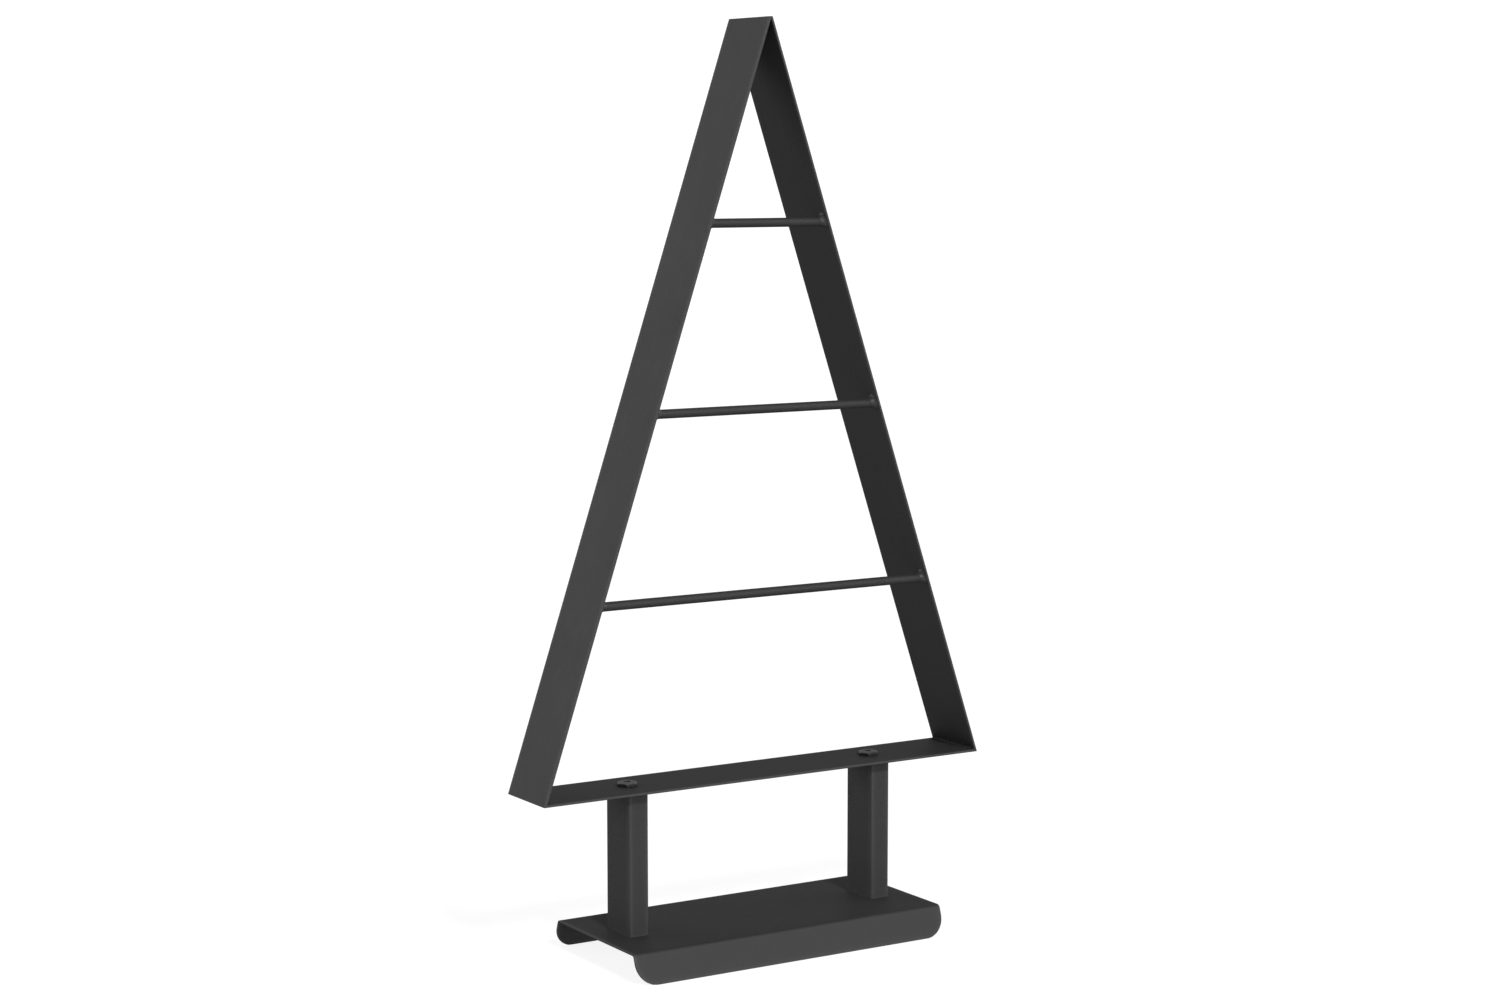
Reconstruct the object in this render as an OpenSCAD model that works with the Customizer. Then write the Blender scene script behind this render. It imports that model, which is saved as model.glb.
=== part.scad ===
// Flat-steel decorative tree on two posts and a bent-sheet base.
// Millimetres, +Z up, front towards -Y. The origin is on the surface that the
// base stands on, at the middle of the base.

/* [Tree frame] */
// Width of the tree at its foot, over the outside of the strips
tree_w = 337; // [240:1:450]
// Height of the tree, from the underside of the foot strip to the tip
tree_h = 496; // [400:1:620]
// Width of the small flat across the tip
tip_w = 2.4; // [1.6:0.1:2.8]
// Width of the steel strip, front to back
strip_w = 50; // [40:1:70]
// Thickness of the steel strip
strip_t = 1.5; // [1.2:0.1:2.5]

/* [Crossbars] */
// Diameter of the round crossbars
bar_d = 6; // [4:0.5:9]
// Height of the lowest crossbar's axis above the underside of the foot strip
bar_first = 123.5; // [60:0.5:150]
// Height from one crossbar's axis to the next
bar_pitch = 120.5; // [80:0.5:123]
// Distance from the front edge of the strip to a crossbar's axis
bar_setback = 5.4; // [5:0.1:30]
// Leg of the fillet weld round a crossbar's end
bar_weld = 2.2; // [1.5:0.1:4]
// Leg of the weld beads inside the frame's corners
corner_weld = 2; // [1:0.1:3]

/* [Posts] */
// Width of a post's tube, left to right
post_w = 15; // [14:0.5:25]
// Depth of a post's tube, front to back
post_d = 30; // [20:0.5:40]
// Height of a post
post_h = 95.5; // [60:0.5:160]
// Distance between the axes of the two posts
post_gap = 189; // [100:1:200]
// Wall of the tube
post_t = 1.2; // [0.8:0.1:1.5]
// Outside corner radius of the tube
post_r = 2; // [1.6:0.1:3]
// Thickness of the threaded plate welded into each end of a tube
plate_t = 6; // [4:0.5:8]

/* [Base] */
// Length of the base, left to right
base_l = 238; // [220:1:320]
// Depth of the base's top, between the sharp corners that its bends round off
base_d = 101; // [80:1:140]
// Distance that each flange leans out from there down to the floor
base_lean = 7.2; // [2:0.1:12]
// Height of the base
base_h = 20; // [17:0.5:40]
// Thickness of the base's sheet
base_t = 1.5; // [1:0.1:2.5]
// Inside radius of the two bends
base_bend = 1.5; // [0.5:0.1:4]
// Radius of the flanges' lower corners
base_corner = 15; // [4:0.5:16]

/* [Fasteners] */
// Nominal diameter of the bolts
bolt_d = 8; // [5:0.5:8]
// Length of a bolt under its head
bolt_l = 12; // [10:1:20]
// Width across the flats of a bolt's head
head_af = 13; // [12:0.5:15]
// Height of a bolt's head
head_h = 2.8; // [2:0.1:4]
// Width of the bevel round the top of a head
head_bevel = 1.3; // [0.4:0.1:2]
// Width across the flats of the hexagon socket in a bolt's head
socket_af = 4; // [3:0.5:4]
// Depth of that socket
socket_depth = 3.2; // [2:0.1:4]
// Outside diameter of the washer under a base bolt
washer_d = 16; // [15:0.5:18]
// Thickness of that washer
washer_t = 1.6; // [1:0.1:2]
// Diametral clearance of a bolt in the holes it passes through
hole_clearance = 0.6; // [0.3:0.1:1.5]
// Diametral clearance of a bolt's thread in its plate
thread_clearance = 0.1; // [0.05:0.01:0.2]
// Clearance all round a threaded plate in its tube
plate_clearance = 0.1; // [0.05:0.01:0.2]

/* [Hidden] */
$fn = 64;

LEFT = -1;
RIGHT = 1;
COAT = "#3a3a3b";
FASTENER = "#55565a";
OVER = 1; // how far a cutting shape runs past what it cuts
ARC_EASE = 0.002; // lets an arc cross the flats it meets, where a bare touch would leave slivers

// Frame: its heights are measured from the underside of the foot strip.
frame_z = base_h + post_h;
side_run = (tree_w - tip_w) / 2;
side_angle = atan2(tree_h, side_run);
wall_x = strip_t / sin(side_angle);
inner_tip_z = tree_h * (tree_w / 2 - wall_x) / side_run;
bar_y = -strip_w / 2 + bar_setback;
bar_heights = [bar_first, bar_first + bar_pitch, bar_first + 2 * bar_pitch];
weld_inset = 1; // from the strip's edges to the ends of a corner bead
tip_weld_h = 4 * corner_weld;

// Base: each flange leans out by the splay angle.
splay = atan2(base_lean, base_h);
flange_l = base_h / cos(splay);
bend_outer = base_bend + base_t;
bend_y = base_d / 2 - bend_outer * tan((90 - splay) / 2);
bend_z = base_h - bend_outer;

// Bolts: one clearance hole serves every piece that a bolt passes through.
hole_d = bolt_d + hole_clearance;
tap_d = bolt_d + thread_clearance;
bevel_slope = 0.45; // height over width of the bevel round a bolt's head

function outer_x(z) = tree_w / 2 - side_run * z / tree_h;
function inner_x(z) = outer_x(z) - wall_x;
function hex_d(across_flats) = across_flats / cos(30);

// A rectangle with round corners, kept exact by using squares and circles only.
module rounded_rect(w, d, r) {
    square([w - 2 * r, d], center = true);
    square([w, d - 2 * r], center = true);
    for (x = [-1, 1], y = [-1, 1])
        translate([x * (w / 2 - r), y * (d / 2 - r)]) circle(r);
}

// Turns an outline drawn in X and Z into a bar of the given depth, front to back.
module front_to_back(depth) {
    rotate([90, 0, 0]) linear_extrude(depth, center = true) children();
}

// ---- Base ----

// All that lies under a skin with the given bend radius, in Y and Z, down to the
// given depth below the floor. The sheet is what lies between two such skins.
module under_skin(r, depth) {
    corner_y = bend_y + r * tan((90 - splay) / 2);
    corner_z = bend_z + r;
    foot = corner_y + (corner_z + depth) * tan(splay);
    difference() {
        polygon([
            [corner_y, corner_z],
            [foot, -depth],
            [-foot, -depth],
            [-corner_y, corner_z]
        ]);
        for (back = [0, 1]) mirror([back, 0]) translate([bend_y, bend_z]) difference() {
            polygon(2 * r * [
                [0, 0],
                [0, 1],
                [1, 1],
                [2 * cos(splay), 2 * sin(splay)]
            ]);
            circle(r + ARC_EASE);
        }
    }
}

// What a flange's lower corner loses, in the flange's own plane.
module corner_waste(side) {
    translate([side * (base_l / 2 - base_corner), flange_l - base_corner, -base_t - OVER])
        linear_extrude(base_t + 2 * OVER) difference() {
            translate([side > 0 ? 0 : -base_corner - OVER, 0])
                square(base_corner + OVER);
            circle(base_corner + ARC_EASE);
        }
}

module base_sheet() {
    color(COAT) difference() {
        rotate([90, 0, 90]) linear_extrude(base_l, center = true) difference() {
            under_skin(bend_outer, 0);
            under_skin(base_bend, OVER);
        }
        for (front = [0, 1], side = [LEFT, RIGHT])
            mirror([0, front, 0]) translate([0, base_d / 2, base_h])
                rotate([splay - 90, 0, 0]) corner_waste(side);
        for (side = [LEFT, RIGHT])
            translate([side * post_gap / 2, 0, base_h - base_t - OVER])
                cylinder(d = hole_d, h = base_t + 2 * OVER);
    }
}

// ---- Posts ----

module post(side) {
    inner_r = max(post_r - post_t, 0.2);
    color(COAT) translate([side * post_gap / 2, 0, base_h])
        linear_extrude(post_h) difference() {
            rounded_rect(post_w, post_d, post_r);
            rounded_rect(post_w - 2 * post_t, post_d - 2 * post_t, inner_r);
        }
}

// A tapped plate that fills a tube's end, given the height of its underside.
module end_plate(side, z) {
    w = post_w - 2 * post_t - 2 * plate_clearance;
    d = post_d - 2 * post_t - 2 * plate_clearance;
    color(COAT) translate([side * post_gap / 2, 0, z])
        linear_extrude(plate_t) difference() {
            rounded_rect(w, d, max(post_r - post_t, 0.2));
            circle(d = tap_d);
        }
}

module post_left() { post(LEFT); }
module post_right() { post(RIGHT); }
module top_plate_left() { end_plate(LEFT, frame_z - plate_t); }
module top_plate_right() { end_plate(RIGHT, frame_z - plate_t); }
module foot_plate_left() { end_plate(LEFT, base_h); }
module foot_plate_right() { end_plate(RIGHT, base_h); }

// ---- Tree frame ----

module side_strip(side) {
    color(COAT) translate([0, 0, frame_z]) front_to_back(strip_w)
        mirror([side > 0 ? 0 : 1, 0]) polygon([
            [outer_x(0), 0],
            [tip_w / 2, tree_h],
            [0, tree_h],
            [0, inner_tip_z],
            [inner_x(strip_t), strip_t]
        ]);
}

module side_strip_left() { side_strip(LEFT); }
module side_strip_right() { side_strip(RIGHT); }

module foot_strip() {
    color(COAT) difference() {
        translate([0, 0, frame_z]) front_to_back(strip_w) polygon([
            [-outer_x(0), 0],
            [outer_x(0), 0],
            [inner_x(strip_t), strip_t],
            [-inner_x(strip_t), strip_t]
        ]);
        for (side = [LEFT, RIGHT])
            translate([side * post_gap / 2, 0, frame_z - OVER])
                cylinder(d = hole_d, h = strip_t + 2 * OVER);
    }
}

// The space inside the frame, which the crossbars and their welds are trimmed to.
module inside_frame() {
    translate([0, 0, frame_z]) front_to_back(strip_w) polygon([
        [-inner_x(strip_t), strip_t],
        [inner_x(strip_t), strip_t],
        [0, inner_tip_z]
    ]);
}

module crossbar(z) {
    color(COAT) intersection() {
        translate([0, bar_y, frame_z + z]) rotate([0, 90, 0])
            cylinder(d = bar_d, h = tree_w, center = true);
        inside_frame();
    }
}

module crossbar_lower() { crossbar(bar_heights[0]); }
module crossbar_middle() { crossbar(bar_heights[1]); }
module crossbar_upper() { crossbar(bar_heights[2]); }

// A cone of weld round each end of each crossbar, widest against the strip.
module crossbar_welds() {
    past = bar_d;
    color(COAT) for (z = bar_heights, side = [LEFT, RIGHT])
        intersection() {
            translate([side * inner_x(z), bar_y, frame_z + z]) rotate([0, side * 90, 0])
                translate([0, 0, -bar_weld]) difference() {
                    cylinder(d1 = bar_d, d2 = bar_d + 2 * (bar_weld + past), h = bar_weld + past);
                    translate([0, 0, -OVER]) cylinder(d = bar_d, h = bar_weld + past + 2 * OVER);
                }
            inside_frame();
        }
}

// Beads inside the two foot corners and under the tip.
module corner_welds() {
    along = corner_weld * [cos(side_angle), sin(side_angle)];
    tip_low = inner_tip_z - tip_weld_h;
    color(COAT) translate([0, 0, frame_z]) front_to_back(strip_w - 2 * weld_inset) {
        for (side = [LEFT, RIGHT]) mirror([side > 0 ? 0 : 1, 0]) polygon([
            [inner_x(strip_t), strip_t],
            [inner_x(strip_t) - along[0], strip_t + along[1]],
            [inner_x(strip_t) - corner_weld, strip_t]
        ]);
        polygon([
            [0, inner_tip_z],
            [-inner_x(tip_low), tip_low],
            [inner_x(tip_low), tip_low]
        ]);
    }
}

// ---- Fasteners ----

// A low hexagon-head bolt, drawn with the underside of its head at z = 0.
module bolt() {
    land = head_af / 2 - head_bevel;
    difference() {
        union() {
            intersection() {
                cylinder(d = hex_d(head_af), h = head_h, $fn = 6);
                cylinder(r1 = land + head_h / bevel_slope, r2 = land, h = head_h);
            }
            translate([0, 0, -bolt_l]) cylinder(d = bolt_d, h = bolt_l);
        }
        translate([0, 0, head_h - socket_depth])
            cylinder(d = hex_d(socket_af), h = socket_depth + OVER, $fn = 6);
    }
}

module frame_bolt(side) {
    color(FASTENER) translate([side * post_gap / 2, 0, frame_z + strip_t]) bolt();
}

module base_bolt(side) {
    color(FASTENER) translate([side * post_gap / 2, 0, base_h - base_t - washer_t])
        rotate([180, 0, 0]) bolt();
}

module base_washer(side) {
    color(FASTENER) translate([side * post_gap / 2, 0, base_h - base_t - washer_t])
        difference() {
            cylinder(d = washer_d, h = washer_t);
            translate([0, 0, -OVER]) cylinder(d = hole_d, h = washer_t + 2 * OVER);
        }
}

module frame_bolt_left() { frame_bolt(LEFT); }
module frame_bolt_right() { frame_bolt(RIGHT); }
module base_bolt_left() { base_bolt(LEFT); }
module base_bolt_right() { base_bolt(RIGHT); }
module base_washer_left() { base_washer(LEFT); }
module base_washer_right() { base_washer(RIGHT); }

base_sheet();
post_left();
post_right();
top_plate_left();
top_plate_right();
foot_plate_left();
foot_plate_right();
side_strip_left();
side_strip_right();
foot_strip();
crossbar_lower();
crossbar_middle();
crossbar_upper();
crossbar_welds();
corner_welds();
frame_bolt_left();
frame_bolt_right();
base_bolt_left();
base_bolt_right();
base_washer_left();
base_washer_right();
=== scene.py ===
# %% [markdown]
# # A steel tree on two posts
#
# The object is a table decoration: a tree outline of flat steel strip, three
# round crossbars to hang ornaments on, two short posts and a bent-sheet base.
# A welder cuts and joins it, and a coater bakes one matt black powder over all
# of it but the bolts and washers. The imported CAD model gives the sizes. This
# script adds what plain solids lack: softened edges, rippled welds and a finish
# with grain.

import math

import bmesh
import bpy
import numpy as np
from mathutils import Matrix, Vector


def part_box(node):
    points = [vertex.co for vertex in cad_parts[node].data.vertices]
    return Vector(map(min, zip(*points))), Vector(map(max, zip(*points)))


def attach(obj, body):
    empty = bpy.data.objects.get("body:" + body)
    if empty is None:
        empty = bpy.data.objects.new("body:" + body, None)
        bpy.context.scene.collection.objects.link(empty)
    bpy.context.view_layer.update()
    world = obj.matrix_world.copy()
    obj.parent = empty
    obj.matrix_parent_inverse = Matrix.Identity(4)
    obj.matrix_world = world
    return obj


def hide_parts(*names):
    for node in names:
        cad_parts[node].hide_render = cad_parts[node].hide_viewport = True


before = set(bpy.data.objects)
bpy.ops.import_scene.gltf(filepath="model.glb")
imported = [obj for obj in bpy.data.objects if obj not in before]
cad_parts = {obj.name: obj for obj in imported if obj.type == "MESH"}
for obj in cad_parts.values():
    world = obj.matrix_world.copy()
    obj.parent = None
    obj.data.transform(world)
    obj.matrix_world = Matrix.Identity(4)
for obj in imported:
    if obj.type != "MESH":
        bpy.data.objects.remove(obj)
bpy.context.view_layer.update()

# %% [markdown]
# Sizes come from the CAD nodes' boxes wherever a box gives them, so that each
# finished surface lands on the solid it stands for. What no box shows, such as
# a wall or a bend, is named here as in the CAD. Everything is in metres.

# %% Read the sizes
MM = 0.001


def box(node):
    """A CAD node's lowest and highest corner, as two numpy arrays."""
    low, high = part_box(node)
    return np.array(low), np.array(high)


side_high = box("side_strip_right")[1]
foot_low, foot_high = box("foot_strip")
base_low, base_high = box("base_sheet")

TIP_WIDTH = 2.4 * MM
strip_depth = foot_high[1] - foot_low[1]
strip_thick = foot_high[2] - foot_low[2]
tree_foot = foot_low[2]
tree_height = side_high[2] - tree_foot
half_foot = foot_high[0]
half_tip = TIP_WIDTH / 2
side_angle = math.atan2(tree_height, half_foot - half_tip)
wall_x = strip_thick / math.sin(side_angle)
print("strip", round(strip_depth, 4), "x", round(strip_thick, 4))
print("sides lean at", round(math.degrees(side_angle), 2), "degrees")


def inner_x(height):
    """How far from the middle a side strip's inner face is, at a height above the tree's foot."""
    slope = (half_foot - half_tip) / tree_height
    return half_foot - wall_x - height * slope


# %% [markdown]
# ## Making a surface
#
# Every piece here is a grid of points: one direction runs along the piece and
# the other runs round its section. numpy works out the whole grid at once, and
# the faces are the same index grid shifted by one. A spare value per point,
# called edge, is 1 on a softened corner and fades to 0 on the flat beside it.
# The coat reads it: powder is thinner over an edge, and the coat also paints a highlight there as a
# lighter colour.

# %% Turn a grid of points into a piece


def grid_piece(name, points, edge=None, caps=True, wrap_rows=False, smooth_angle=40):
    """A closed skin over a grid of points shaped (rows, round, 3).

    Each quad joins a point to its neighbour round the loop and to the same two
    in the next row. The loop always closes. Rows close on themselves with
    wrap_rows, or else the first and last get a flat cap.
    """
    rows, around = points.shape[:2]
    index = np.arange(rows * around).reshape(rows, around)
    here = index if wrap_rows else index[:-1]
    ahead = np.roll(index, -1, axis=0) if wrap_rows else index[1:]
    quads = np.stack(
        [here, np.roll(here, -1, axis=1), np.roll(ahead, -1, axis=1), ahead], axis=-1
    )
    faces = quads.reshape(-1, 4).tolist()
    if caps and not wrap_rows:
        faces += [index[0, ::-1].tolist(), index[-1].tolist()]
    return skin(name, points.reshape(-1, 3), faces, edge, smooth_angle)


def skin(name, points, faces, edge=None, smooth_angle=40):
    """A mesh object from points and faces, merged, turned outwards and smooth shaded."""
    mesh = bpy.data.meshes.new(name)
    mesh.from_pydata(points.tolist(), [], faces)
    value = np.zeros(len(points)) if edge is None else np.asarray(edge, float).reshape(-1)
    layer = mesh.attributes.new("edge", "FLOAT", "POINT")
    layer.data.foreach_set("value", value.astype(np.float32))
    work = bmesh.new()
    work.from_mesh(mesh)
    bmesh.ops.remove_doubles(work, verts=work.verts, dist=1e-6)
    bmesh.ops.dissolve_degenerate(work, edges=work.edges, dist=1e-7)
    bmesh.ops.recalc_face_normals(work, faces=work.faces)
    work.to_mesh(mesh)
    work.free()
    mesh.polygons.foreach_set("use_smooth", [True] * len(mesh.polygons))
    mesh.set_sharp_from_angle(angle=math.radians(smooth_angle))
    piece = bpy.data.objects.new(name, mesh)
    bpy.context.scene.collection.objects.link(piece)
    return piece


# %% [markdown]
# A rolled strip and a drawn tube both have a rectangular section whose corners are softened, by the
# mill and then by the coat. The loop below walks round such a section. It puts a few extra points
# on each flat next to the corner, so that the flat shades flat and the lighter band beside the
# corner, thin coat and painted highlight, stays narrow.

# %% A softened rectangle


EDGE_FADE = 0.9 * MM


def soft_rectangle(half_x, half_y, radius, steps=5, beside=(0.3, 1.2, 3.5)):
    """Points round a rectangle with round corners, and how much of an edge each is.

    Each corner is a quarter circle: its centre plus radius times (cos a, sin a).
    The points beside it lie on the flats, at the given distances in millimetres.
    Over them the edge value falls away as the exponential of minus the distance.
    """
    quarter = np.linspace(0, math.pi / 2, steps + 1)
    cx, cy = half_x - radius, half_y - radius
    loop, edge = [], []
    for turn, (sx, sy) in enumerate([(1, 1), (-1, 1), (-1, -1), (1, -1)]):
        angle = quarter + turn * math.pi / 2
        arc = np.stack(
            [sx * cx + radius * np.cos(angle), sy * cy + radius * np.sin(angle)], axis=1
        )
        flat_half = cy if turn % 2 else cx
        away = np.array([d * MM for d in beside if d * MM < 0.9 * flat_half])
        along = np.array([-math.sin(angle[-1]), math.cos(angle[-1])])
        corner_end = arc[-1]
        other_end = corner_end + along * 2 * flat_half
        leave = corner_end + away[:, None] * along
        arrive = other_end - away[::-1, None] * along
        fade = np.exp(-away / EDGE_FADE)
        loop += [arc, leave, arrive]
        edge += [np.ones(len(arc)), fade, fade[::-1]]
    return np.concatenate(loop), np.concatenate(edge)


STRIP_SOFT = 0.35 * MM
section, section_edge = soft_rectangle(strip_depth / 2, strip_thick / 2, STRIP_SOFT)
print("points round the strip", len(section))

# %% [markdown]
# ## The tree's three strips
#
# The outline is three lengths of the same bar, set on edge and mitred: each
# corner is cut along the line that halves its angle, so the faces meet in one
# sharp line. A bevelled box could stand in, but its ends would be square. Here
# each fibre of the bar simply runs on until it meets the mitre.

# %% Sweep a strip between its mitres


def strip_points(start, direction, inward, first, last, rows=48):
    """A bar as fibres: start + direction * s + inward * depth, from s = first to s = last.

    first and last hold one value for each point of the section, so that each
    end can be cut on any plane. Depth into the tree is measured from the
    outer face, and the section's long side lies along Y.
    """
    depth = section[:, 1] + strip_thick / 2
    share = np.linspace(0, 1, rows)[:, None]
    s = first + (last - first) * share
    points = np.empty((rows, len(section), 3))
    points[..., 0] = start[0] + direction[0] * s + inward[0] * depth
    points[..., 1] = section[:, 0]
    points[..., 2] = start[1] + direction[1] * s + inward[1] * depth
    return points


depth = section[:, 1] + strip_thick / 2
mitre = depth / math.tan(side_angle / 2)
run_x, rise = math.cos(side_angle), math.sin(side_angle)
to_middle = (half_foot - rise * depth) / run_x
to_top = (tree_height + run_x * depth) / rise

side_points = strip_points(
    (half_foot, tree_foot),
    (-run_x, rise),
    (-rise, -run_x),
    mitre,
    np.minimum(to_middle, to_top),
)
tip_ring = side_points[-1].copy()
tip_ring[:, 0] = 0
side_points = np.concatenate([side_points, tip_ring[None]])
side_edge = np.tile(section_edge, (len(side_points), 1))

strips = {}
for name, sign in (("side_strip_right", 1), ("side_strip_left", -1)):
    strips[name] = grid_piece(name + "_bar", side_points * [sign, 1, 1], side_edge)

foot_points = strip_points(
    (-half_foot, tree_foot), (1, 0), (0, 1), mitre, 2 * half_foot - mitre
)
strips["foot_strip"] = grid_piece(
    "foot_strip_bar", foot_points, np.tile(section_edge, (len(foot_points), 1))
)
print("strips", {k: len(v.data.polygons) for k, v in strips.items()})

# %% [markdown]
# ## Crossbars
#
# Each crossbar is plain round rod, cut on the slant to butt against the sides.
# It is a cylinder whose two ends follow the lean of the strips: a point's end
# depends on its own height.

# %% Round bars with slanted ends


def crossbar_points(node, rows=40, around=40):
    """x = share * inner_x(height), with y and height on a circle round the bar's axis."""
    low, high = box(node)
    radius = (high[1] - low[1]) / 2
    middle = (low + high) / 2
    angle = np.linspace(0, 2 * math.pi, around, endpoint=False)
    y = middle[1] + radius * np.cos(angle)
    z = middle[2] + radius * np.sin(angle)
    share = np.linspace(-1, 1, rows)[:, None]
    points = np.empty((rows, around, 3))
    points[..., 0] = share * inner_x(z - tree_foot)
    points[..., 1] = y
    points[..., 2] = z
    return points, middle, radius


bars = {}
bar_facts = []
for node in ("crossbar_lower", "crossbar_middle", "crossbar_upper"):
    points, middle, radius = crossbar_points(node)
    bars[node] = grid_piece(node + "_rod", points)
    bar_facts.append((middle, radius))
    print(node, "length", round(float(np.ptp(points[..., 0])), 4), "radius", round(radius, 4))

# %% [markdown]
# ## Welds
#
# A small fillet runs round each bar's end. Laid by hand, it is a row of
# overlapping ripples, and the coat only softens them. The fillet is a closed
# ring: its section has one foot on the bar, one on the strip and a hollow face
# between them, and the ripples are a sine in the angle round the bar.

# %% Fillets round the crossbars


WELD_LEG, WELD_RUN = 2.0 * MM, 3.6 * MM
BURIED = 0.3 * MM


def fillet_ring(middle, radius, side, phase, around=96, steps=9):
    """A welded ring between a bar and the slanted strip.

    At each angle the corner is where the bar's skin meets the strip's face. One
    foot is a run back along the bar, and the other a leg out over the face, half
    as long again above and below the bar. A quadratic curve joins them, pulled
    halfway in from the straight line to the corner. The last point of the
    section is buried in the bar and the strip.
    """
    angle = np.linspace(0, 2 * math.pi, around, endpoint=False)
    radial = np.stack([np.zeros(around), np.cos(angle), np.sin(angle)], axis=1)
    z = middle[2] + radius * radial[:, 2]
    corner = np.stack(
        [side * inner_x(z - tree_foot), middle[1] + radius * radial[:, 1], z], axis=1
    )
    face = np.array([-side * math.sin(side_angle), 0, -math.cos(side_angle)])
    out = radial - (radial @ face)[:, None] * face
    out /= np.linalg.norm(out, axis=1)[:, None]
    ripple = 1 + 0.04 * np.sin(11 * angle + phase) + 0.03 * np.sin(3 * angle + 2 * phase)
    back = np.array([-side, 0, 0])
    on_bar = corner + back * (WELD_RUN * ripple)[:, None]
    on_face = corner + out * (WELD_LEG * ripple * (1 + 0.5 * np.sin(angle) ** 2))[:, None]
    pull = corner + 0.5 * ((on_bar + on_face) / 2 - corner)
    share = np.linspace(0, 1, steps)[:, None, None]
    curve = (1 - share) ** 2 * on_bar + 2 * share * (1 - share) * pull + share**2 * on_face
    buried = corner - BURIED * radial - BURIED * face
    return np.concatenate([curve, buried[None]])


def join_pieces(name, parts):
    """One object from several grids, each closed both ways."""
    points, faces, offset = [], [], 0
    for grid in parts:
        rows, around = grid.shape[:2]
        index = np.arange(rows * around).reshape(rows, around) + offset
        ahead = np.roll(index, -1, axis=0)
        quads = np.stack(
            [index, np.roll(index, -1, axis=1), np.roll(ahead, -1, axis=1), ahead], axis=-1
        )
        faces += quads.reshape(-1, 4).tolist()
        points.append(grid.reshape(-1, 3))
        offset += rows * around
    return skin(name, np.concatenate(points), faces, smooth_angle=60)


weld_rings = [
    fillet_ring(middle, radius, side, phase=1.7 * k + side)
    for k, (middle, radius) in enumerate(bar_facts)
    for side in (-1, 1)
]
bar_welds = join_pieces("crossbar_fillets", weld_rings)
print("weld rings", len(weld_rings))

# %% [markdown]
# The frame's own corners are welded on the inside, where the bead doesn't spoil
# the sharp outline. Such a bead runs from front to back and is hard to see. Its
# section is a small triangle with a rippled face, pinched at both ends. The one
# under the tip fills the narrow angle there, and stays well back from the edges.

# %% Beads inside the corners


BEAD_PITCH = 2.4 * MM
BEAD_TAPER = 1.5 * MM
BEAD_SHORT, TIP_BEAD_SHORT = 1.2 * MM, 7 * MM


def bead(corner, first_leg, second_leg, short=BEAD_SHORT, rows=150, steps=8):
    """A bead along Y in an inside corner, between two legs in the X-Z plane.

    The face bulges by a sine across the bead, and swells and shrinks along Y
    with the weld's pitch. The bead stops short of each edge of the strip, and
    near its ends the whole section shrinks to nothing.
    """
    half = strip_depth / 2 - short
    y = np.linspace(-half, half, rows)
    end = np.clip((half - np.abs(y)) / BEAD_TAPER, 0, 1)
    size = np.sqrt(end * (2 - end)) * (1 + 0.06 * np.abs(np.sin(math.pi * y / BEAD_PITCH)))
    share = np.linspace(0, 1, steps)
    bulge = 0.12 * np.sin(math.pi * share)
    flat = (1 - share)[:, None] * first_leg + share[:, None] * second_leg
    loop = np.concatenate([[[0.0, 0.0]], flat * (1 + bulge)[:, None]])
    points = np.empty((rows, len(loop), 3))
    points[..., 0] = corner[0] + size[:, None] * loop[:, 0]
    points[..., 1] = y[:, None]
    points[..., 2] = corner[1] + size[:, None] * loop[:, 1]
    return points


BEAD_LEG = 1.9 * MM
TIP_BEAD_DROP = 7.6 * MM
up_the_side = BEAD_LEG * np.array([-run_x, rise])
along_foot = BEAD_LEG * np.array([-1.0, 0.0])
inside_corner = np.array([inner_x(strip_thick), tree_foot + strip_thick])
inner_tip = (half_foot - wall_x) * tree_height / (half_foot - half_tip)
inner_tip_point = np.array([0.0, tree_foot + inner_tip])
tip_leg = np.array([inner_x(inner_tip - TIP_BEAD_DROP), -TIP_BEAD_DROP])

beads = [
    bead(inside_corner, along_foot, up_the_side),
    bead(inside_corner * [-1, 1], up_the_side * [-1, 1], along_foot * [-1, 1]),
    bead(inner_tip_point, tip_leg * [-1, 1], tip_leg, TIP_BEAD_SHORT),
]
corner_beads = join_pieces("corner_beads", beads)
print("beads", len(beads))

# %% [markdown]
# ## Posts
#
# The posts are rectangular tube with round corners, cut square at both ends. A
# tube is one closed surface: up the outside, over the rim, down the inside and
# back. So the grid closes in both directions and needs no caps.

# %% Two lengths of tube
TUBE_WALL = 1.2 * MM
TUBE_CORNER = 2.0 * MM
TUBE_RIM = 0.15 * MM
TUBE_BESIDE = (0.4, 1.5, 4)


def tube_points(node):
    """Rings of a soft rectangle, first outside from foot to top, then inside and down."""
    low, high = box(node)
    half = (high - low) / 2
    middle = (low + high) / 2
    inside = half - TUBE_WALL
    outer, edge = soft_rectangle(half[0], half[1], TUBE_CORNER, 8, TUBE_BESIDE)
    inner, _ = soft_rectangle(inside[0], inside[1], TUBE_CORNER - TUBE_WALL, 8, TUBE_BESIDE)
    height = high[2] - low[2]
    drawn_in = outer * (1 - TUBE_RIM / half[0])
    up = [TUBE_RIM, *np.linspace(0.02, 0.98, 22) * height, height - TUBE_RIM]
    levels = [(drawn_in, 0.0)]
    levels += [(outer, z) for z in up]
    levels += [(drawn_in, height), (inner, height), (inner, 0.0)]
    points = np.empty((len(levels), len(outer), 3))
    for row, (ring, z) in enumerate(levels):
        points[row, :, :2] = ring + middle[:2]
        points[row, :, 2] = low[2] + z
    z = np.array([z for _, z in levels])
    near_end = np.exp(-np.minimum(z, height - z) / MM)
    return points, np.maximum(0.6 * edge[None], near_end[:, None])


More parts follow.
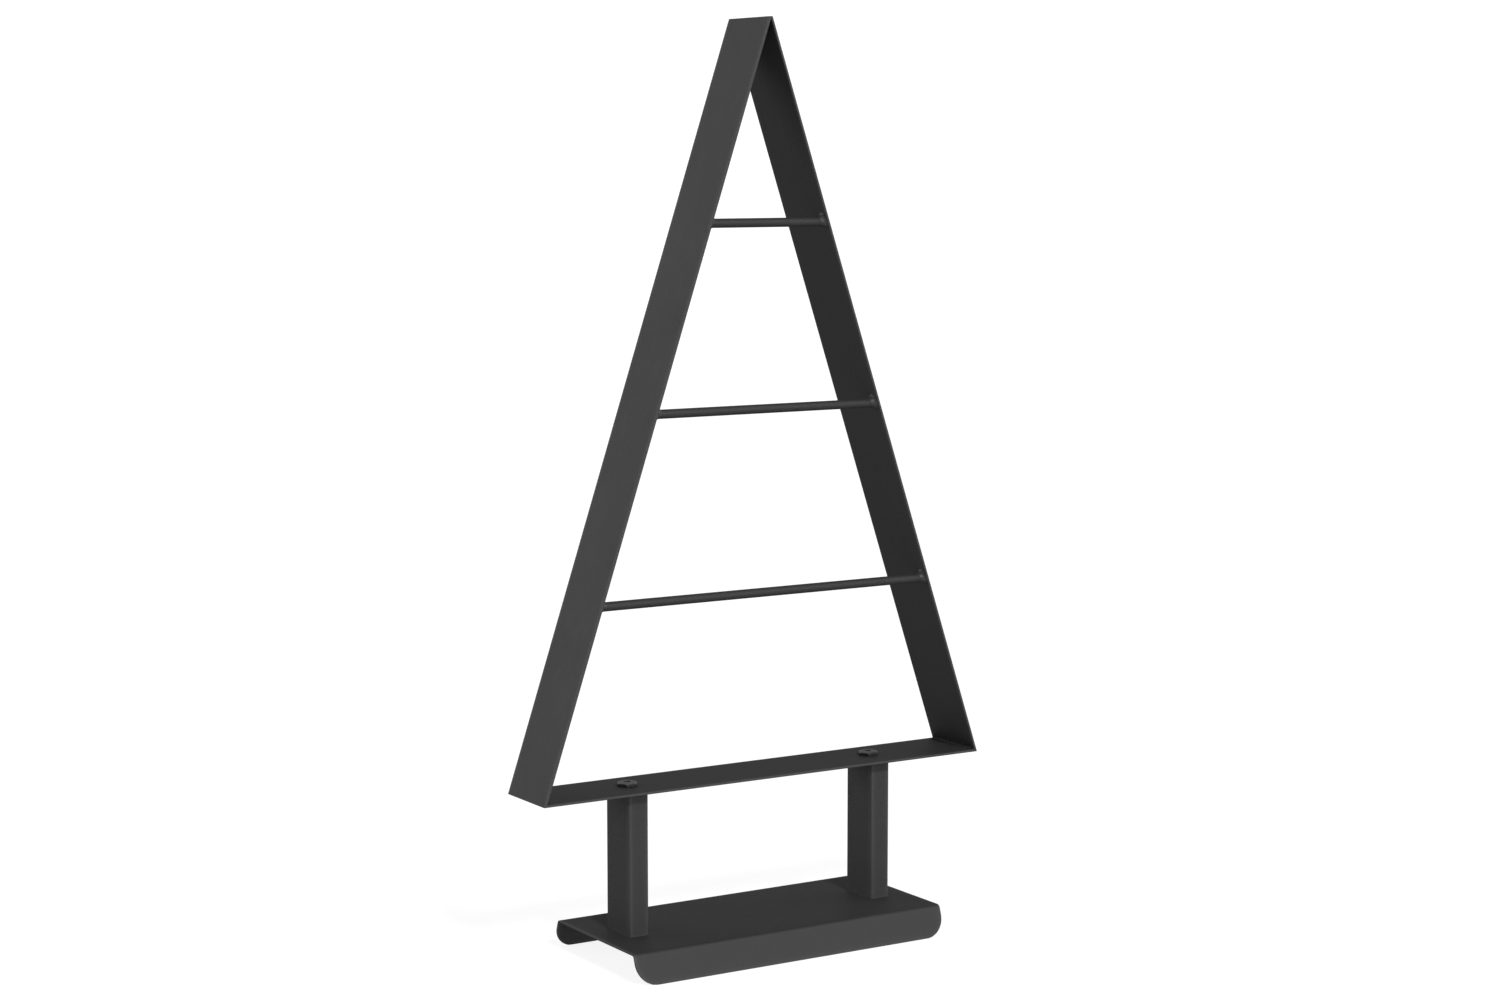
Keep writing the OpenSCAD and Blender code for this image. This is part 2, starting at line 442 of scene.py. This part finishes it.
posts = {}
for node in ("post_left", "post_right"):
    points, edge = tube_points(node)
    posts[node] = grid_piece(node + "_tube", points, edge, wrap_rows=True, smooth_angle=35)
    print(node, "height", round(float(np.ptp(points[..., 2])), 4))

# %% [markdown]
# ## The base
#
# The base starts as a flat blank with four large round corners. A press brake
# then bends its front and back edges down, and they spring out to a lean of
# about twenty degrees. The code does the same. It draws the blank flat, and one
# function of the distance across it bends the whole grid at once.

# %% Bend a blank
SHEET = 1.5 * MM
BEND = 3.0 * MM
BLANK_CORNER = 15.0 * MM
TOP_DEPTH = 101 * MM
base_height = base_high[2] - base_low[2]
half_length = base_high[0]
half_top = TOP_DEPTH / 2
lean = math.atan2(base_high[1] - half_top, base_height)
turn = math.pi / 2 - lean
flat_half = half_top - BEND * math.tan(turn / 2)
flange = base_height / math.cos(lean) - BEND * math.tan(turn / 2)
blank_half = flat_half + BEND * turn + flange
print("blank", round(2 * half_length, 4), "x", round(2 * blank_half, 4))
print("flanges lean", round(math.degrees(lean), 1), "degrees")


def bend_sheet(x, across, depth):
    """Where a point of the blank goes. across is measured on the outer skin.

    Up to the bend line the sheet stays level. Over the bend it follows a circle,
    and past it a straight flange. depth is the way into the sheet, against the
    skin's normal. What would pass the floor slides back up along the flange.
    """
    side = np.sign(across)
    v = np.abs(across)
    angle = np.clip((v - flat_half) / BEND, 0, turn)
    down = np.clip(v - flat_half - BEND * turn, 0, None)
    y = np.minimum(v, flat_half) + BEND * np.sin(angle) + down * math.sin(lean)
    z = base_height - BEND * (1 - np.cos(angle)) - down * math.cos(lean)
    y -= depth * np.sin(angle)
    z -= depth * np.cos(angle)
    under = np.minimum(z, 0)
    y += under * math.tan(lean)
    return np.stack([x, side * y, z - under], axis=-1)


def blank_half_length(across, inset):
    """Half the blank's length at a distance across it, less an inset: round at the corners."""
    v = np.abs(across)
    into = np.clip(v - (blank_half - BLANK_CORNER), 0, BLANK_CORNER - inset)
    reach = BLANK_CORNER - inset
    return half_length - BLANK_CORNER + np.sqrt(np.maximum(reach**2 - into**2, 0))


# %% [markdown]
# The skin is one grid on top and one beneath, and a rim joins them. The rim is
# a small rounded lip, carried round the blank's outline: it leaves the top skin,
# turns through a quarter circle, drops, and turns back in underneath.

# %% Skin and rim of the base


RIM_FADE = 1.2 * MM


def base_surface(lip=0.3 * MM):
    """Points, faces and edge values of the whole bent sheet.

    Rows run across the blank, closer together over the bends and at the rim.
    Each row's points are shares of the blank's half length at that row. The rim's
    rings lie along the outward direction of the outline, which points away from
    the corner's centre on the round parts.
    """
    knee = flat_half + BEND * turn
    half_rows = np.concatenate(
        [
            np.linspace(0, flat_half - 1 * MM, 12),
            np.linspace(flat_half, knee, 10),
            knee + np.linspace(0.3 * MM, blank_half - lip - knee - 1 * MM, 14),
            blank_half - lip - np.array([0.6, 0.3, 0.12, 0.03, 0.0]) * MM,
        ]
    )
    v = np.concatenate([-half_rows[:0:-1], half_rows])
    near = 1 - np.array([0.0, 0.004, 0.012, 0.035])
    share = np.unique(np.concatenate([-near, near, np.linspace(-0.93, 0.93, 41)]))
    reach = blank_half_length(v, lip)
    x = share[None, :] * reach[:, None]
    across = np.repeat(v[:, None], len(share), axis=1)
    rows, columns = x.shape
    index = np.arange(rows * columns).reshape(rows, columns)
    quads = np.stack([index[:-1, :-1], index[:-1, 1:], index[1:, 1:], index[1:, :-1]], axis=-1)
    quads = quads.reshape(-1, 4)

    ring = np.concatenate(
        [index[0, :], index[1:, -1], index[-1, -2::-1], index[-2:0:-1, 0]]
    )
    rx, rv = x.reshape(-1)[ring], across.reshape(-1)[ring]
    cx = np.sign(rx) * np.minimum(np.abs(rx), half_length - BLANK_CORNER)
    cv = np.sign(rv) * np.minimum(np.abs(rv), blank_half - BLANK_CORNER)
    out_x, out_v = rx - cx, rv - cv
    size = np.hypot(out_x, out_v)
    out_x, out_v = out_x / size, out_v / size
    quarter = np.linspace(0, math.pi / 2, 4)[1:]
    steps = [(lip * math.sin(a), lip * (1 - math.cos(a))) for a in quarter]
    steps += [(o, SHEET - d) for o, d in steps[::-1]]
    parts = [bend_sheet(x, across, depth).reshape(-1, 3) for depth in (0.0, SHEET)]
    to_side, to_front = reach[:, None] - np.abs(x), blank_half - np.abs(across)
    near_rim = np.maximum(np.exp(-to_side / RIM_FADE), np.exp(-to_front / RIM_FADE)).reshape(-1)
    edges = [near_rim, near_rim]
    count = rows * columns
    rings = [ring]
    offset = 2 * count
    for outwards, drop in steps:
        parts.append(bend_sheet(rx + out_x * outwards, rv + out_v * outwards, drop))
        edges.append(np.ones(len(ring)))
        rings.append(np.arange(len(ring)) + offset)
        offset += len(ring)
    rings.append(ring + count)
    faces = quads.tolist() + (quads[:, ::-1] + count).tolist()
    for a, b in zip(rings[:-1], rings[1:]):
        faces += np.stack([a, b, np.roll(b, -1), np.roll(a, -1)], axis=-1).tolist()
    return np.concatenate(parts), faces, np.concatenate(edges)


points, faces, edge = base_surface()
base = skin("base_bent_sheet", points, faces, edge, smooth_angle=50)
print("base faces", len(base.data.polygons), "lowest", round(float(points[:, 2].min()), 6))

# %% [markdown]
# ## Bolts and washers
#
# A low hexagon head has a bevel all round its top, which cuts the six sides in
# shallow arcs, and a hexagon socket in the middle. In polar form this is short:
# the hexagon is a radius that depends on the angle, and every level of the bolt
# is that radius or a constant one. A high power in the hexagon's formula rounds
# its corners a little, as forging does.

# %% A bolt in polar form


def hexagon(angle, across_flats, power=36):
    """Radius of a hexagon with soft corners.

    It is the power mean of the six distances to the flats: for each flat, the
    cosine of the angle from it, over half the width; summed to a high power.
    """
    flats = np.radians(30 + 60 * np.arange(6))
    reach = np.clip(np.cos(angle[:, None] - flats), 0, None) / (across_flats / 2)
    return np.sum(reach**power, axis=1) ** (-1 / power)


HEAD_WIDTH, HEAD_HEIGHT = 13 * MM, 2.8 * MM
BEVEL, BEVEL_SLOPE = 1.3 * MM, 0.45
SOCKET_WIDTH, SOCKET_DEPTH = 4 * MM, 3.1 * MM
SHANK_RADIUS, SHANK_LENGTH, SHANK_POINT = 4 * MM, 12 * MM, 0.5 * MM
BOLT_SOFT = 0.12 * MM


def bolt_points(around=144):
    """Points of a bolt with the underside of its head at z = 0, and how turned each is.

    The rows are levels of radius and height, from the shank's end up over the
    head and into the socket. Each level also says how bright the lathe left it.
    """
    angle = np.linspace(0, 2 * math.pi, around, endpoint=False)
    flats = hexagon(angle, HEAD_WIDTH)
    socket = hexagon(angle, SOCKET_WIDTH, 60)
    land = HEAD_WIDTH / 2 - BEVEL
    shoulder = HEAD_HEIGHT - BEVEL_SLOPE * (flats - land)
    soft, slope, head = BOLT_SOFT, BEVEL_SLOPE, HEAD_HEIGHT
    levels = [
        (SHANK_RADIUS - SHANK_POINT, -SHANK_LENGTH, 0),
        (SHANK_RADIUS, -SHANK_LENGTH + SHANK_POINT, 0),
        (SHANK_RADIUS, -0.3 * MM, 0),
        (SHANK_RADIUS, 0, 0),
        (flats - soft, 0, 0),
        (flats, soft, 0),
        (flats, shoulder - soft, 0),
        (flats - 0.4 * soft, shoulder - 0.2 * soft, 0),
        (flats - 1.2 * soft, shoulder + 1.2 * soft * slope, 1),
        (0.5 * (flats + land), head - slope * 0.5 * (flats - land), 1),
        (land + 1.5 * soft, head - slope * 1.5 * soft, 1),
        (land, head - 0.25 * slope * soft, 1),
        (land - 2 * soft, head, 1),
        (socket + 2.5 * soft, head, 0.6),
        (socket + 0.8 * soft, head - 0.15 * soft, 0.6),
        (socket, head - 1.2 * soft, 0),
        (socket, head - SOCKET_DEPTH, 0),
        (socket * 0.3, head - SOCKET_DEPTH - 0.1 * MM, 0),
    ]
    points = np.empty((len(levels), around, 3))
    turned = np.empty((len(levels), around))
    for row, (radius, height, bright) in enumerate(levels):
        points[row, :, 0] = radius * np.cos(angle)
        points[row, :, 1] = radius * np.sin(angle)
        points[row, :, 2] = height
        turned[row] = bright
    return points, turned


upright, turned = bolt_points()
bolts = {}
for node in ("frame_bolt_left", "frame_bolt_right", "base_bolt_left", "base_bolt_right"):
    low, high = box(node)
    middle = (low + high) / 2
    if node.startswith("base"):
        points, seat = upright * [1, -1, -1], low[2] + HEAD_HEIGHT
    else:
        points, seat = upright, high[2] - HEAD_HEIGHT
    points = points + [middle[0], middle[1], seat]
    bolts[node] = grid_piece(node + "_turned", points, turned, smooth_angle=38)
print("bolts", len(bolts))

# %% [markdown]
# A washer is stamped and tumbled, so its edges are soft. It is a softened
# rectangle carried round a circle.

# %% Washers
WASHER_HOLE = 4.3 * MM
WASHER_SOFT = 0.25 * MM
WASHER_AROUND = 72
washers = {}
for node in ("base_washer_left", "base_washer_right"):
    low, high = box(node)
    half = (high - low) / 2
    middle = (low + high) / 2
    loop, edge = soft_rectangle((half[0] - WASHER_HOLE) / 2, half[2], WASHER_SOFT, 4, (0.3,))
    angle = np.linspace(0, 2 * math.pi, WASHER_AROUND, endpoint=False)[:, None]
    r = (half[0] + WASHER_HOLE) / 2 + loop[:, 0]
    points = np.stack(
        [
            middle[0] + r * np.cos(angle),
            middle[1] + r * np.sin(angle),
            middle[2] + loop[:, 1] + 0 * angle,
        ],
        axis=-1,
    )
    edge = np.tile(edge, (WASHER_AROUND, 1))
    washers[node] = grid_piece(node + "_stamped", points, edge, wrap_rows=True)
print("washers", len(washers))

# %% [markdown]
# ## Finishes
#
# Shader maths reads best as plain sums. A Wire is a socket that can be added and
# multiplied: each operator adds one Math node behind the scenes. Any other node
# comes from one method, which takes the node's type, its settings and what goes
# into its sockets.

# %% Wires and finishes


class Wire:
    """A socket that can be used in sums."""

    def __init__(self, finish, socket):
        self.finish = finish
        self.socket = socket

    def math(self, operation, first, second=0.0):
        """One Math node on two values or wires."""
        return self.finish.node(
            "ShaderNodeMath", {"operation": operation}, {0: first, 1: second}
        )

    def __add__(self, other):
        return self.math("ADD", self, other)

    def __radd__(self, other):
        return self.math("ADD", other, self)

    def __sub__(self, other):
        return self.math("SUBTRACT", self, other)

    def __rsub__(self, other):
        return self.math("SUBTRACT", other, self)

    def __mul__(self, other):
        return self.math("MULTIPLY", self, other)

    def __rmul__(self, other):
        return self.math("MULTIPLY", other, self)


class Finish:
    """A material and the nodes that make it."""

    def __init__(self, name):
        self.material = bpy.data.materials.new(name)
        self.material.use_nodes = True
        self.tree = self.material.node_tree
        self.tree.nodes.clear()
        self.place = self.node("ShaderNodeTexCoord", output="Object")

    def node(self, kind, settings=None, inputs=None, output=0):
        """Adds a node: settings first, then values or wires into its sockets."""
        made = self.tree.nodes.new(kind)
        for key, value in (settings or {}).items():
            if key == "stops":
                ramp = made.color_ramp
                while len(ramp.elements) < len(value):
                    ramp.elements.new(0.5)
                for stop, (position, grey) in zip(ramp.elements, value):
                    stop.position = position
                    stop.color = (grey, grey, grey, 1)
            else:
                setattr(made, key, value)
        for key, value in (inputs or {}).items():
            socket = self.socket(made, key)
            if isinstance(value, Wire):
                self.tree.links.new(value.socket, socket)
            else:
                socket.default_value = value
        if not made.outputs:
            return None
        if kind == "ShaderNodeMix":
            return Wire(self, [s for s in made.outputs if s.enabled][0])
        return Wire(self, made.outputs[output])

    def socket(self, made, key):
        """A socket by number, or by name among those that the node's settings leave in use."""
        if isinstance(key, int):
            return made.inputs[key]
        return [s for s in made.inputs if s.enabled and key in (s.name, s.identifier)][0]

    def noise(self, size, detail=2.0, rough=0.5, stretch=(1, 1, 1)):
        """Cloudy noise whose blobs are about this size in metres."""
        where = self.node(
            "ShaderNodeMapping", {"vector_type": "POINT"}, {"Vector": self.place, "Scale": stretch}
        )
        return self.node(
            "ShaderNodeTexNoise",
            {"noise_dimensions": "3D"},
            {"Vector": where, "Scale": 1 / size, "Detail": detail, "Roughness": rough},
            output="Fac",
        )

    def ramp(self, wire, stops):
        """A value mapped through stops of (position, grey)."""
        return self.node("ShaderNodeValToRGB", {"stops": stops}, {"Fac": wire}, output="Color")

    def blend(self, factor, first, second):
        """A colour between two, each (r, g, b) or a wire."""
        first = first if isinstance(first, Wire) else (*first, 1)
        second = second if isinstance(second, Wire) else (*second, 1)
        return self.node(
            "ShaderNodeMix",
            {"data_type": "RGBA", "clamp_factor": True},
            {"Factor": factor, "A": first, "B": second},
        )

    def bump(self, height, distance, normal=None):
        """A normal tilted by a height, this many metres deep, on top of another if one is given."""
        inputs = {"Height": height, "Distance": distance, "Strength": 1.0}
        if normal is not None:
            inputs["Normal"] = normal
        return self.node("ShaderNodeBump", None, inputs, output="Normal")

    def surface(self, colour, roughness, normal, **fixed):
        """Ends the material in a Principled shader. Fixed values are set on its own sockets."""
        inputs = {"Base Color": colour, "Roughness": roughness, "Normal": normal}
        inputs.update({k.replace("_", " "): v for k, v in fixed.items()})
        shader = self.node("ShaderNodeBsdfPrincipled", None, inputs, output="BSDF")
        self.node("ShaderNodeOutputMaterial", None, {"Surface": shader})
        return self.material


# %% [markdown]
# ## The black coat
#
# Matt powder coat isn't flat black. The powder melts into a skin with a fine grain, under half a
# millimetre across, over a slower ripple that coaters call orange peel. It cures a little unevenly,
# so its gloss drifts over a hand's width, and it is thin and slightly polished on edges, where its
# colour is also lighter: partly the thin coat, partly a painted highlight. Each of these is one
# noise of the right size, and the edge value blends the last one in. The same powder flows out a
# little glossier over a warm weld. The beads deep in the inside corners get a darker and duller
# version: the darker colour is painted shade for the corner.

# %% Powder coat


def powder_coat(name, dark=(0.0165, 0.0165, 0.017), ripple=1.0, dull=0.60, shine=0.42):
    """Matt black powder: grain and orange peel in the bump, slow drift in colour and gloss."""
    coat = Finish(name)
    edge = coat.node("ShaderNodeAttribute", {"attribute_name": "edge"}, output="Fac")
    grain = coat.noise(0.45 * MM, detail=3, rough=0.6)
    peel = coat.noise(3.2 * MM, detail=1, rough=0.4)
    drift = coat.noise(55 * MM, detail=3, rough=0.55)
    dust = coat.ramp(coat.noise(1.1 * MM, detail=2, rough=0.7), [(0.70, 0), (0.78, 1)])
    smear = coat.noise(9 * MM, detail=4, rough=0.7, stretch=(1, 1, 0.35))
    rubs = coat.ramp(smear, [(0.55, 0), (0.8, 1)])
    light = tuple(1.9 * c for c in dark)
    speck = coat.ramp(grain, [(0.36, 0), (0.66, 1)])
    colour = coat.blend(0.05 + 0.35 * drift + 0.28 * speck, dark, light)
    colour = coat.blend(0.10 * dust, colour, (0.12, 0.12, 0.118))
    # Edges get a lighter colour: partly the thin coat, partly a painted highlight.
    colour = coat.blend(0.5 * edge, colour, (0.062, 0.062, 0.063))
    rough = dull + 0.10 * (drift - 0.5) + 0.07 * (grain - 0.5) - 0.05 * rubs - 0.08 * edge
    low = coat.bump(peel, 0.10 * MM * ripple)
    normal = coat.bump(grain, 0.07 * MM, normal=low)
    return coat.surface(
        colour, rough, normal, Metallic=0.0, IOR=1.5, Specular_IOR_Level=shine
    )


black_coat = powder_coat("black_powder_coat")
weld_coat = powder_coat("coated_weld", dark=(0.019, 0.019, 0.0195), ripple=1.2, dull=0.50)
# The beads' coat is darker as painted shade for the deep inside corners, and has less shine.
painted_shade_bead_coat = powder_coat("coated_bead_painted_shade", dark=(0.007, 0.007, 0.0072), ripple=1.2, shine=0.12)
print("coats", black_coat.name, weld_coat.name, painted_shade_bead_coat.name)

# %% [markdown]
# ## Bolts and plain steel
#
# The bolts are blackened in a hot bath. The oxide is thin enough to show the
# steel's own sheen: darker than steel, smoother than powder, and worn bright on
# the bevel that the lathe cut. The tapped plates inside the tubes are never
# coated, so they are plain mill steel with the mill's long fine streaks.

# %% Blackened bolts and mill steel


def blackened_steel(name):
    """Satin black oxide, a little browner and rougher in patches, bright where it was turned."""
    oxide = Finish(name)
    turned = oxide.node("ShaderNodeAttribute", {"attribute_name": "edge"}, output="Fac")
    patch = oxide.noise(2.5 * MM, detail=3, rough=0.6)
    scratch = oxide.noise(0.25 * MM, detail=2, rough=0.5, stretch=(1, 0.15, 1))
    colour = oxide.blend(patch, (0.022, 0.022, 0.024), (0.040, 0.040, 0.039))
    colour = oxide.blend(turned, colour, (0.24, 0.24, 0.245))
    rough = 0.44 + 0.14 * patch + 0.06 * (scratch - 0.5) - 0.12 * turned
    normal = oxide.bump(scratch + patch, 0.008 * MM)
    return oxide.surface(colour, rough, normal, Metallic=0.9, IOR=1.5)


def mill_steel(name):
    """Uncoated plate: grey, streaked along X, with a faint rust bloom."""
    steel = Finish(name)
    streak = steel.noise(0.6 * MM, detail=3, rough=0.6, stretch=(0.08, 1, 1))
    bloom = steel.ramp(steel.noise(6 * MM, detail=4, rough=0.65), [(0.52, 0), (0.72, 1)])
    colour = steel.blend(streak, (0.26, 0.26, 0.27), (0.38, 0.38, 0.385))
    colour = steel.blend(0.35 * bloom, colour, (0.20, 0.13, 0.09))
    rough = 0.34 + 0.2 * streak + 0.2 * bloom
    normal = steel.bump(streak, 0.01 * MM)
    return steel.surface(colour, rough, normal, Metallic=0.9, IOR=1.5)


bolt_steel = blackened_steel("blackened_bolt_steel")
bare = mill_steel("bare_mill_steel")
print("metals", bolt_steel.name, bare.name)

# %% [markdown]
# ## Putting the pieces on the frame
#
# Each finished piece stands for one CAD node and rides on the part's only body,
# because nothing on this stand moves. The four tapped plates keep their CAD
# shape: they are hidden in the tubes, and flat plates need no more.

# %% Ride, replace and coat


def fit_piece(piece, node, material):
    """Coats a finished piece and lets it stand for its CAD node."""
    piece.data.materials.append(material)
    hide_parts(node)
    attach(piece, "root")


for node, piece in {**strips, **bars, **posts, "base_sheet": base}.items():
    fit_piece(piece, node, black_coat)
fit_piece(bar_welds, "crossbar_welds", weld_coat)
fit_piece(corner_beads, "corner_welds", painted_shade_bead_coat)
for node, piece in {**bolts, **washers}.items():
    fit_piece(piece, node, bolt_steel)

for name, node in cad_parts.items():
    material = bare if "plate" in name else black_coat
    for place in node.material_slots:
        place.material = material

# %% [markdown]
# ## Camera
#
# The viewer stands in front and to the left, a little above the middle of the
# tree, and looks slightly down. A long lens keeps the uprights nearly parallel.
# The place is an angle and a distance from the stand's axis, and the lens points
# almost straight at that axis.

# %% Camera
AZIMUTH = math.radians(32.08)
HEADING = math.radians(32.068)
PITCH = math.radians(6.678)
DISTANCE, EYE_HEIGHT = 1.9295, 0.4081
SENSOR_WIDTH, FOCAL_LENGTH = 36, 70.81
ahead = Vector(
    (
        math.sin(HEADING) * math.cos(PITCH),
        math.cos(HEADING) * math.cos(PITCH),
        -math.sin(PITCH),
    )
)
camera_data = bpy.data.cameras.new("camera")
camera_data.sensor_width = SENSOR_WIDTH
camera_data.lens = FOCAL_LENGTH
camera_data.clip_start, camera_data.clip_end = 0.05, 60
camera = bpy.data.objects.new("camera", camera_data)
camera.location = (
    -DISTANCE * math.sin(AZIMUTH),
    -DISTANCE * math.cos(AZIMUTH),
    EYE_HEIGHT + tree_foot,
)
camera.rotation_mode = "QUATERNION"
camera.rotation_quaternion = ahead.to_track_quat("-Z", "Y")
bpy.context.scene.collection.objects.link(camera)
bpy.context.scene.camera = camera
print("camera at", [round(v, 3) for v in camera.location])

# %% [markdown]
# ## Paper sweep
#
# The stand is set on white paper that runs out flat and then curves up into a
# wall all round, so that there is no horizon. Its height is a quarter circle of
# the distance out. The paper only shows itself: it is kept out of the stand's
# reflections, because a black coat beside bright paper turns grey. It is lit
# through, as on a light table: most of its white is its own glow, and only a
# little is lamplight, so the stand's shadow on it stays faint.

# %% Floor that turns into a wall
SWEEP_FLAT, SWEEP_CURVE, SWEEP_WALL = 4.0, 2.0, 4.0
PAPER_GLOW = 0.89


def sweep_points(around=96):
    """Rings of radius r and height z: flat, then a quarter circle, then straight up."""
    turn_up = np.linspace(0, math.pi / 2, 13)
    flat_r = [0.02, 1.0, 2.0, 3.0]
    curve_r = SWEEP_FLAT + SWEEP_CURVE * np.sin(turn_up)
    curve_z = SWEEP_CURVE * (1 - np.cos(turn_up))
    r = np.concatenate([flat_r, curve_r, [SWEEP_FLAT + SWEEP_CURVE]])
    z = np.concatenate([np.zeros(len(flat_r)), curve_z, [SWEEP_WALL]])
    angle = np.linspace(0, 2 * math.pi, around, endpoint=False)
    points = np.empty((len(r), around, 3))
    points[..., 0] = r[:, None] * np.cos(angle)
    points[..., 1] = r[:, None] * np.sin(angle)
    points[..., 2] = z[:, None]
    return points


def paper_finish():
    """Glowing paper with fine fibre: a little lamplight on it, and its own even light."""
    paper = Finish("white_paper")
    fibre = paper.noise(2 * MM, detail=2)
    return paper.surface(
        paper.blend(fibre, (0.18, 0.18, 0.18), (0.21, 0.21, 0.21)),
        0.9 + 0.05 * fibre,
        paper.bump(fibre, 0.02 * MM),
        Specular_IOR_Level=0.1,
        Emission_Color=(1, 1, 1, 1),
        Emission_Strength=PAPER_GLOW,
    )


sweep_rings = sweep_points()
index = np.arange(sweep_rings[..., 0].size).reshape(sweep_rings.shape[:2])
here, outer = index[:-1], index[1:]
quads = np.stack([outer, np.roll(outer, -1, axis=1), np.roll(here, -1, axis=1), here], axis=-1)
sweep_faces = quads.reshape(-1, 4).tolist() + [index[0].tolist()]
sweep_mesh = bpy.data.meshes.new("paper_sweep")
sweep_mesh.from_pydata(sweep_rings.reshape(-1, 3).tolist(), [], sweep_faces)
sweep_mesh.polygons.foreach_set("use_smooth", [True] * len(sweep_mesh.polygons))
sweep_mesh.materials.append(paper_finish())
sweep = bpy.data.objects.new("paper_sweep", sweep_mesh)
sweep.visible_diffuse = False
sweep.visible_glossy = False
sweep.visible_shadow = False
bpy.context.scene.collection.objects.link(sweep)
print("sweep faces", len(sweep_mesh.polygons))

# %% [markdown]
# ## Light
#
# Matt black shows itself by what it reflects. A key light stands in front,
# high enough for the foot strip to throw a short shadow on the posts, and a
# broad low fill lies under it. A third light, behind and to the left, skims the
# outside of the near strip, and a fourth on the right opens the shadows. One
# from below stands for what the paper throws back. An even, dim sky does the
# rest. The lamps are distant, so their light is the same on every part, and all
# but the key have a very wide disc, so it is soft.

# %% Lamps and sky


def lamp(name, side, height, strength, width):
    """A distant lamp. side is its angle from the right, height its angle above the floor.

    width is the angle that its disc fills, and all three are in degrees.
    """
    a, e = math.radians(side), math.radians(height)
    towards = Vector((math.cos(e) * math.cos(a), math.cos(e) * math.sin(a), math.sin(e)))
    light = bpy.data.lights.new(name, "SUN")
    light.energy = strength
    light.angle = math.radians(width)
    made = bpy.data.objects.new(name, light)
    made.rotation_mode = "QUATERNION"
    made.rotation_quaternion = towards.to_track_quat("Z", "Y")
    bpy.context.scene.collection.objects.link(made)
    return made


lamps = [
    lamp("key", -97, 38, 2.0, 8),
    lamp("low_fill", -85, 10, 0.95, 40),
    lamp("rim", 133, 16, 0.85, 40),
    lamp("side_fill", -10, 10, 1.0, 40),
    lamp("paper_bounce", -120, -40, 0.65, 60),
]
SKY_STRENGTH = 0.225
world = bpy.data.worlds.new("sky")
world.use_nodes = True
background = world.node_tree.nodes["Background"]
background.inputs["Color"].default_value = (1, 1, 1, 1)
background.inputs["Strength"].default_value = SKY_STRENGTH
bpy.context.scene.world = world
bpy.context.scene.view_settings.view_transform = "Standard"
print("lamps", [o.name for o in lamps])
